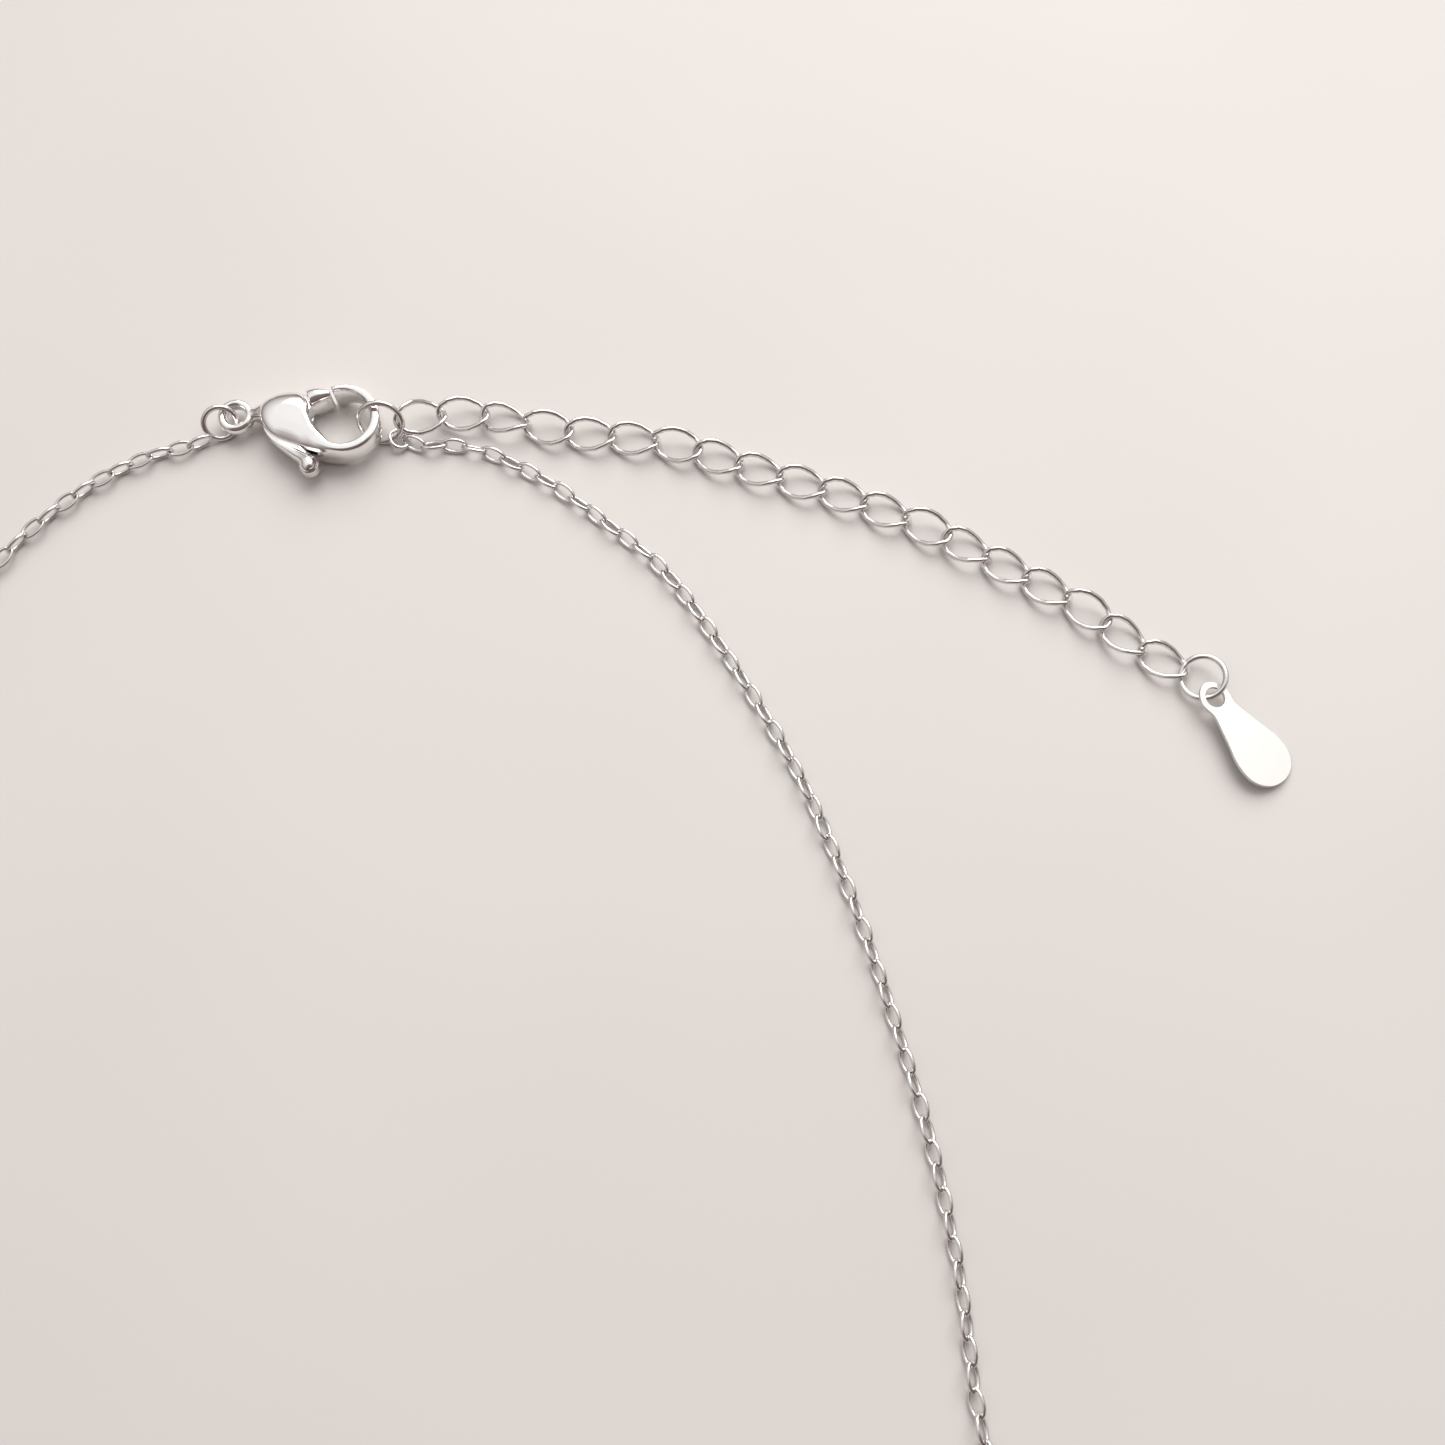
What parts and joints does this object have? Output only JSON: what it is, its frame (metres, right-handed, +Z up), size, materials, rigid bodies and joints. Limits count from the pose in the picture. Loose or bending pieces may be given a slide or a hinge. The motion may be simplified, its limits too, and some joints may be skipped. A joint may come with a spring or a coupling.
{
  "type": "necklace",
  "caption": "Fine silver cable chain necklace, laid out flat with its lobster clasp closed on a ring and a curb link extender ending in a teardrop tag.",
  "frame": {"origin": "on the flat back of the clasp, near the middle of its body, where it lies on the table", "axes": "+X along the clasp from its eye to its hook and on along the extender, +Y across the clasp away from its thumb knob, +Z up off the table"},
  "size_m": [0.0882, 0.1047, 0.0026],
  "materials": {
    "polished_silver": "polished, rhodium bright, cast",
    "drawn_wire": "bright drawn wire",
    "pressed_sheet": "satin pressed sheet with polished edges",
    "spring_steel": "plain drawn spring steel"
  },
  "bodies": {
    "clasp": {"clasp_body": "polished_silver", "lever_pin": "spring_steel", "lever_spring": "spring_steel", "fine_chain": "drawn_wire"},
    "lever": {"clasp_lever": "polished_silver"},
    "jump_ring": {"jump_ring": "drawn_wire"},
    "catch_ring": {"catch_ring": "drawn_wire"},
    "chain_ring": {"chain_ring": "drawn_wire"},
    "link_01": {"extender_link_01": "drawn_wire"},
    "link_02": {"extender_link_02": "drawn_wire"},
    "link_03": {"extender_link_03": "drawn_wire"},
    "link_04": {"extender_link_04": "drawn_wire"},
    "link_05": {"extender_link_05": "drawn_wire"},
    "link_06": {"extender_link_06": "drawn_wire"},
    "link_07": {"extender_link_07": "drawn_wire"},
    "link_08": {"extender_link_08": "drawn_wire"},
    "link_09": {"extender_link_09": "drawn_wire"},
    "link_10": {"extender_link_10": "drawn_wire"},
    "link_11": {"extender_link_11": "drawn_wire"},
    "link_12": {"extender_link_12": "drawn_wire"},
    "link_13": {"extender_link_13": "drawn_wire"},
    "link_14": {"extender_link_14": "drawn_wire"},
    "link_15": {"extender_link_15": "drawn_wire"},
    "link_16": {"extender_link_16": "drawn_wire"},
    "link_17": {"extender_link_17": "drawn_wire"},
    "link_18": {"extender_link_18": "drawn_wire"},
    "link_19": {"extender_link_19": "drawn_wire"},
    "end_ring": {"end_ring": "drawn_wire"},
    "tag": {"tag": "pressed_sheet"}
  },
  "joints": [
    {"name": "lever_open", "type": "hinge", "parent": "clasp", "child": "lever", "pos_m": [-0.0005, 0.0004, 0.00102], "axis": [0, 0, -1], "range_deg": [0, 15], "stiffness_Nm_per_rad": 0.02, "springref_deg": -5.73},
    {"name": "jump_ring_spin", "type": "hinge", "parent": "clasp", "child": "jump_ring", "pos_m": [-0.00434, -0.00025, 0.0009], "axis": [0.3141, -0.6735, 0.6691], "continuous": true},
    {"name": "catch_ring_spin", "type": "hinge", "parent": "clasp", "child": "catch_ring", "pos_m": [0.00543, -0.00042, 0.00129], "axis": [-0.0294, -0.8429, 0.5373], "continuous": true},
    {"name": "chain_ring_spin", "type": "hinge", "parent": "clasp", "child": "chain_ring", "pos_m": [0.00647, -0.00108, 0.00044], "axis": [0.4067, 0, 0.9135], "continuous": true},
    {"name": "link_01_swing", "type": "hinge", "parent": "clasp", "child": "link_01", "pos_m": [0.00656, -0.00033, 0.00146], "axis": [0, 0, 1], "range_deg": [-7, 30]},
    {"name": "link_02_swing", "type": "hinge", "parent": "link_01", "child": "link_02", "pos_m": [0.009, 0.00041, 0.00075], "axis": [0, 0, -1], "range_deg": [-30, 10]},
    {"name": "link_03_swing", "type": "hinge", "parent": "link_02", "child": "link_03", "pos_m": [0.0116, 0.00043, 0.0006], "axis": [0, 0, 1], "range_deg": [-18, 30]},
    {"name": "link_04_swing", "type": "hinge", "parent": "link_03", "child": "link_04", "pos_m": [0.01415, -0.00023, 0.00055], "axis": [0, 0, -1], "range_deg": [-30, 25]},
    {"name": "link_05_swing", "type": "hinge", "parent": "link_04", "child": "link_05", "pos_m": [0.01673, -0.00076, 0.00055], "axis": [0, 0, 1], "range_deg": [-30, 30]},
    {"name": "link_06_swing", "type": "hinge", "parent": "link_05", "child": "link_06", "pos_m": [0.01935, -0.00098, 0.00055], "axis": [0, 0, -1], "range_deg": [-30, 30]},
    {"name": "link_07_swing", "type": "hinge", "parent": "link_06", "child": "link_07", "pos_m": [0.02197, -0.00133, 0.00055], "axis": [0, 0, 1], "range_deg": [-30, 30]},
    {"name": "link_08_swing", "type": "hinge", "parent": "link_07", "child": "link_08", "pos_m": [0.02452, -0.00199, 0.00055], "axis": [0, 0, -1], "range_deg": [-30, 30]},
    {"name": "link_09_swing", "type": "hinge", "parent": "link_08", "child": "link_09", "pos_m": [0.02701, -0.00287, 0.00055], "axis": [0, 0, 1], "range_deg": [-30, 30]},
    {"name": "link_10_swing", "type": "hinge", "parent": "link_09", "child": "link_10", "pos_m": [0.02951, -0.0037, 0.00055], "axis": [0, 0, -1], "range_deg": [-30, 30]},
    {"name": "link_11_swing", "type": "hinge", "parent": "link_10", "child": "link_11", "pos_m": [0.03203, -0.00447, 0.00055], "axis": [0, 0, 1], "range_deg": [-30, 30]},
    {"name": "link_12_swing", "type": "hinge", "parent": "link_11", "child": "link_12", "pos_m": [0.03451, -0.00539, 0.00055], "axis": [0, 0, -1], "range_deg": [-30, 30]},
    {"name": "link_13_swing", "type": "hinge", "parent": "link_12", "child": "link_13", "pos_m": [0.03692, -0.00644, 0.00055], "axis": [0, 0, 1], "range_deg": [-30, 30]},
    {"name": "link_14_swing", "type": "hinge", "parent": "link_13", "child": "link_14", "pos_m": [0.03929, -0.0076, 0.00055], "axis": [0, 0, -1], "range_deg": [-30, 30]},
    {"name": "link_15_swing", "type": "hinge", "parent": "link_14", "child": "link_15", "pos_m": [0.04161, -0.00886, 0.00055], "axis": [0, 0, 1], "range_deg": [-30, 30]},
    {"name": "link_16_swing", "type": "hinge", "parent": "link_15", "child": "link_16", "pos_m": [0.0439, -0.01016, 0.00055], "axis": [0, 0, -1], "range_deg": [-30, 30]},
    {"name": "link_17_swing", "type": "hinge", "parent": "link_16", "child": "link_17", "pos_m": [0.04618, -0.0115, 0.00055], "axis": [0, 0, 1], "range_deg": [-30, 30]},
    {"name": "link_18_swing", "type": "hinge", "parent": "link_17", "child": "link_18", "pos_m": [0.04832, -0.01303, 0.00055], "axis": [0, 0, -1], "range_deg": [-30, 30]},
    {"name": "link_19_swing", "type": "hinge", "parent": "link_18", "child": "link_19", "pos_m": [0.05036, -0.0147, 0.00055], "axis": [0, 0, 1], "range_deg": [-30, 30]},
    {"name": "end_ring_swing", "type": "hinge", "parent": "link_19", "child": "end_ring", "pos_m": [0.05268, -0.01595, 0.0005], "axis": [0, 0, -1], "range_deg": [-15, 15]},
    {"name": "tag_swing", "type": "hinge", "parent": "end_ring", "child": "tag", "pos_m": [0.0539, -0.01765, 0.0005], "axis": [0, 0, 1], "range_deg": [-20, 20]}
  ]
}
